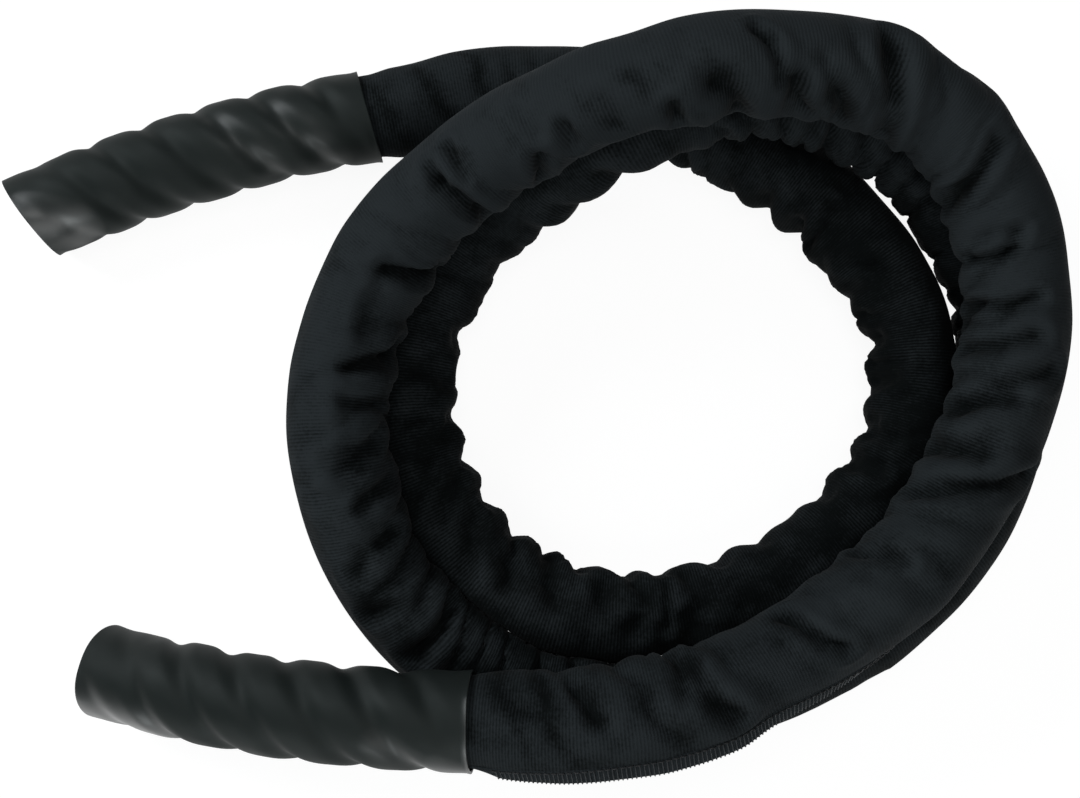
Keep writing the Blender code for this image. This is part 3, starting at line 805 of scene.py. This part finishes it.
# ---------------------------------------------------------------- Strands
# Three strands of polyester fibre, twisted round each other to the right along the whole rope. They show
# only in the two cut ends, and the second end is cut at a slant.
strand_sides = 16
strand_rings = np.linspace(1 * MM, rope_length - 1 * MM, 640)
strand_offset = 9.9 * MM
strand_radius = 8.5 * MM
cut_slant = 0.22
cut_reach = 60 * MM
bound_share, sleeved_share = 0.04, 0.20


def cut_back(distance, angle, radius):
    """Where a point near the slanted end lies along the rope."""
    near = np.clip(1 - (rope_length - distance) / cut_reach, 0, 1)
    return distance - near * cut_slant * (grip_radius + radius * np.cos(angle))


def drawn_in(distance):
    """The rope is thinner where the tape binds its ends: 0 under the tape, 1 from 44 mm on."""
    return ease((np.minimum(distance, rope_length - distance) - 28 * MM) / (16 * MM))


strand_material, tree, shader = new_material("strand_fibre", (0.02, 0.02, 0.021), {
    "Roughness": 0.7, "Specular IOR Level": 0.3})
hairs = add_grain(tree, shader, scale=1400, detail=3, strength=0.6, distance=0.3 * MM)
tone = add_ramp(tree, (0.3, (0.010, 0.010, 0.0105)), (0.75, (0.034, 0.035, 0.037)))
join(tree, (hairs, "Grain", tone, "Fac"), (tone, "Color", shader, "Base Color"))

# The strands are drawn smaller where the sleeve hides them, so that its folds can dip in
sleeved = np.clip((np.minimum(strand_rings, rope_length - strand_rings) - grip_length) / (30 * MM), 0, 1)
pull = 0.96 + bound_share * drawn_in(strand_rings) - sleeved_share * sleeved
sides = np.arange(strand_sides) * TURN / strand_sides
for strand in range(3):
    lay = lay_start + TURN * strand / 3 + TURN * strand_rings / lay_length
    x = (strand_offset * pull * np.cos(lay))[:, None] + (strand_radius * pull)[:, None] * np.cos(sides)
    y = (strand_offset * pull * np.sin(lay))[:, None] + (strand_radius * pull)[:, None] * np.sin(sides)
    around, reach = np.arctan2(y, x), np.hypot(x, y)
    tube = beside(cut_back(strand_rings[:, None] + 0 * x, around, reach), around, reach)
    points, faces = closed_tube(tube, inwards=True)
    piece = new_piece("laid_strand_%d" % (strand + 1), points, faces, strand_material)
    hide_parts("strand_%d" % (strand + 1))

# ---------------------------------------------------------------- End tape
# Black cloth tape, wound twice round each cut end before the grip goes on, so that the strands don't open.
# The grip covers it, and only its edge shows in the cut end.
tape_sides = 48
tape_rows = np.linspace(1.5, 24, 12)[:, None] * MM
tape_outside = 19.2 * MM
tape_inside = 17.9 * MM
lowest_outside, lowest_inside = 0.15 * MM, 1.2 * MM


def make_shell(name, node, material, from_end, end, inwards, outer, inner, side_count):
    """An open tube with a wall, from rows of distances from an end of the rope."""
    sides = np.arange(side_count) * TURN / side_count
    distance = end + inwards * (from_end + 0 * sides[None, :])
    count = len(from_end)
    walls = []
    for radius, lowest in ((outer, lowest_outside), (inner, lowest_inside)):
        reach = radius(distance, sides[None, :])
        wall = beside(cut_back(distance, sides[None, :], reach), sides[None, :], reach)
        wall[..., 2] = np.maximum(wall[..., 2], lowest)
        walls.append(wall.reshape(-1, 3))
    last, first_inner, over = (count - 1) * side_count, count * side_count, inwards > 0
    faces = (tube_faces(count, side_count, 0, over) + tube_faces(count, side_count, first_inner, not over)
             + rim_faces(0, first_inner, side_count, over)
             + rim_faces(last, first_inner + last, side_count, not over))
    piece = new_piece(name, np.concatenate(walls), faces, material)
    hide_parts(node)
    return piece


def even_wall(radius):
    """A wall that is as far from the rope's line everywhere."""
    return lambda distance, angle: radius + 0 * distance


tape_material, tree, shader = new_material("end_tape", (0.012, 0.012, 0.013), {"Roughness": 0.6})
add_grain(tree, shader, scale=500, detail=2, strength=0.3, distance=0.15 * MM)
for name, node, end, inwards in (("tape_a", "end_binding_a", 0, 1),
                                 ("tape_b", "end_binding_b", rope_length, -1)):
    make_shell(name, node, tape_material, tape_rows, end, inwards,
               even_wall(tape_outside), even_wall(tape_inside), tape_sides)

# ---------------------------------------------------------------- Grips
# A tube of black heat-shrink film over the bare rope at each end, 176 and 172 mm long and open at both ends.
# It has drawn itself down over the strands, so it shows their lay as soft slanted lobes, and stays round over
# the end's tape.
grip_sides = 96
film_radius = 21.0 * MM
film_rise = 0.5 * MM
film_wall = 1.1 * MM
mouth_lip, mouth_lip_width = 0.4, 1.5 * MM
film_material, tree, shader = new_material("shrink_film", (0.0072, 0.0104, 0.0098), {
    "Specular IOR Level": 0.26, "Specular Tint": (0.93, 1.0, 0.98, 1),
    "Coat IOR": 1.7, "Coat Roughness": 0.4})
add_grain(tree, shader, scale=1100, detail=3, strength=0.15, distance=0.1 * MM)
coordinates = add_node(tree, "ShaderNodeTexCoord")
rubbed = add_node(tree, "ShaderNodeTexNoise", {"Scale": 38, "Detail": 4})
polish = add_node(tree, "ShaderNodeMapRange", {
    "From Min": 0.3, "From Max": 0.7, "To Min": 0.56, "To Max": 0.70})
shine = add_node(tree, "ShaderNodeAttribute", attribute_name="shine")
smooth = add_node(tree, "ShaderNodeMath", {1: -0.15}, operation="MULTIPLY_ADD")
join(tree, (coordinates, "Object", rubbed, "Vector"), (rubbed, "Fac", polish, "Value"),
     (shine, "Fac", smooth, 0), (polish, "Result", smooth, 2), (smooth, 0, shader, "Roughness"),
     (shine, "Fac", shader, "Coat Weight"))


def make_grip(name, node, end, inwards, mouth, mouth_slant, lay, crest_at, groove_depth, polished):
    """A grip from an end of the rope to its mouth, with grooves between the strands and polished places."""
    def outer(distance, angle):
        from_end = np.minimum(distance, rope_length - distance)
        lobed = np.clip((mouth - from_end - 4 * MM) / (16 * MM), 0, 1)
        groove = (0.5 - 0.5 * np.cos(3 * (angle - TURN * (distance - crest_at) / lay))) ** 2.4
        free = drawn_in(distance + inwards * 6 * MM)
        wave = (0.25 * soft_noise(distance, angle, cell=24 * MM, cells_round=5, seed=31)
                + 0.12 * soft_noise(distance, angle, cell=7 * MM, cells_round=13, seed=32))
        wave += mouth_lip * np.exp(-((mouth - from_end) / mouth_lip_width) ** 2)
        return (film_radius + film_rise * free - groove_depth * groove * lobed * (0.35 + 0.65 * free)
                + wave * MM)

    def inner(distance, angle):
        return outer(distance, angle) - film_wall

    sides = np.arange(grip_sides) * TURN / grip_sides
    share = np.concatenate([[0, 0.003], np.linspace(0.01, 0.99, 150), [0.997, 1]])[:, None]
    from_end = share * (mouth + mouth_slant * (np.cos(sides) - 1) / 2)[None, :]
    piece = make_shell(name, node, film_material, from_end, end, inwards, outer, inner,
                       grip_sides)
    glossy = np.zeros_like(from_end)
    for width, strength, *line in polished:
        near = 1.25 - fold_distance(from_end, sides[None, :] + 0 * share, line) / width
        glossy = np.maximum(glossy, strength * np.clip(near, 0, 1))
    paint(piece, "shine", np.tile(glossy.ravel(), 2))


# The film is polished on a few lobes and where it lies smooth. Each polished line has half its width and how
# bright it is, then the places that it runs through, from the end in millimetres and round in degrees.
make_grip("shrink_grip_a", "grip_a", end=0, inwards=1, mouth=176 * MM, mouth_slant=0, lay=82 * MM,
          crest_at=104 * MM, groove_depth=2.3 * MM, polished=(
              (15, 1.0, 0, 140, 20, 150, 36, 165), (7, 0.3, 140, 118, 148, 134, 158, 150),
              (9, 0.6, 162, 156, 176, 172), (1.3, 0.7, 175.6, 60, 175.6, 170)))
make_grip("shrink_grip_b", "grip_b", end=rope_length, inwards=-1, mouth=172 * MM, mouth_slant=5 * MM,
          lay=75 * MM, crest_at=rope_length - 87.8 * MM, groove_depth=2.0 * MM, polished=(
              (13, 1.0, 0, 72, 9, 56, 18, 38), (8, 0.26, 103, 105, 111, 77, 120, 32),
              (8, 0.26, 129, 105, 139, 70, 150, 25)))

# ---------------------------------------------------------------- Floor and light
# A white floor that the camera and reflections see as bright, but that lights the rope only dimly from below.
# A window stands to the upper left of the coil and a low one to its lower left, with two weak lamps overhead.
floor_mesh = bpy.data.meshes.new("floor")
shape = bmesh.new()
bmesh.ops.create_grid(shape, x_segments=1, y_segments=1, size=4)
shape.to_mesh(floor_mesh)
shape.free()
floor = bpy.data.objects.new("floor", floor_mesh)
scene.collection.objects.link(floor)
floor_material = bpy.data.materials.new("white_floor")
floor_material.use_nodes = True
tree = floor_material.node_tree
tree.nodes.clear()
output = add_node(tree, "ShaderNodeOutputMaterial")
lit = add_node(tree, "ShaderNodeBsdfDiffuse", {"Color": (0.16, 0.16, 0.16, 1)})
glow = add_node(tree, "ShaderNodeEmission", {"Strength": 0.92})
both = add_node(tree, "ShaderNodeAddShader")
matt = add_node(tree, "ShaderNodeBsdfDiffuse", {"Color": (0.25, 0.25, 0.25, 1)})
light_path = add_node(tree, "ShaderNodeLightPath")
camera_or_glossy = add_node(tree, "ShaderNodeMath", operation="MAXIMUM")
white_rays = add_node(tree, "ShaderNodeMath", operation="MAXIMUM")
seen = add_node(tree, "ShaderNodeMixShader")
join(tree, (lit, 0, both, 0), (glow, 0, both, 1), (light_path, "Is Camera Ray", camera_or_glossy, 0),
     (light_path, "Is Glossy Ray", camera_or_glossy, 1), (camera_or_glossy, 0, white_rays, 0),
     (light_path, "Is Transmission Ray", white_rays, 1), (white_rays, 0, seen, "Fac"),
     (matt, 0, seen, 1), (both, 0, seen, 2), (seen, 0, output, "Surface"))
floor_mesh.materials.append(floor_material)

world = bpy.data.worlds.new("studio")
scene.world = world
world.use_nodes = True
tree = world.node_tree
dim = tree.nodes["Background"]
dim.inputs["Color"].default_value = (0.93, 0.96, 1.0, 1)
dim.inputs["Strength"].default_value = 0.05
white = add_node(tree, "ShaderNodeBackground", {"Color": (1, 1, 1, 1)})
light_path = add_node(tree, "ShaderNodeLightPath")
seen = add_node(tree, "ShaderNodeMixShader")
join(tree, (light_path, "Is Camera Ray", seen, "Fac"), (dim, 0, seen, 1), (white, 0, seen, 2),
     (seen, 0, tree.nodes["World Output"], "Surface"))


def soft_lamp(name, place, size, power, colour=(1, 1, 1)):
    """A lamp with a wide face, turned towards the middle of the coil."""
    data = bpy.data.lights.new(name, "AREA")
    data.shape = "RECTANGLE"
    data.size, data.size_y = size
    data.energy = power
    data.color = colour
    lamp = bpy.data.objects.new(name, data)
    lamp.location = place
    lamp.rotation_euler = (-Vector(place)).to_track_quat("-Z", "Y").to_euler()
    scene.collection.objects.link(lamp)


soft_lamp("window", (-1.15, 0.75, 0.95), (0.8, 0.8), 15.5, (0.93, 0.97, 1.0))
soft_lamp("low_window", (-0.45, -1.4, 0.5), (0.9, 0.55), 7.5, (0.90, 0.94, 0.95))
soft_lamp("above", (0.1, 0.2, 1.6), (0.8, 0.8), 5.5)
soft_lamp("near", (0.2, -1.0, 1.2), (0.9, 0.9), 4.5)
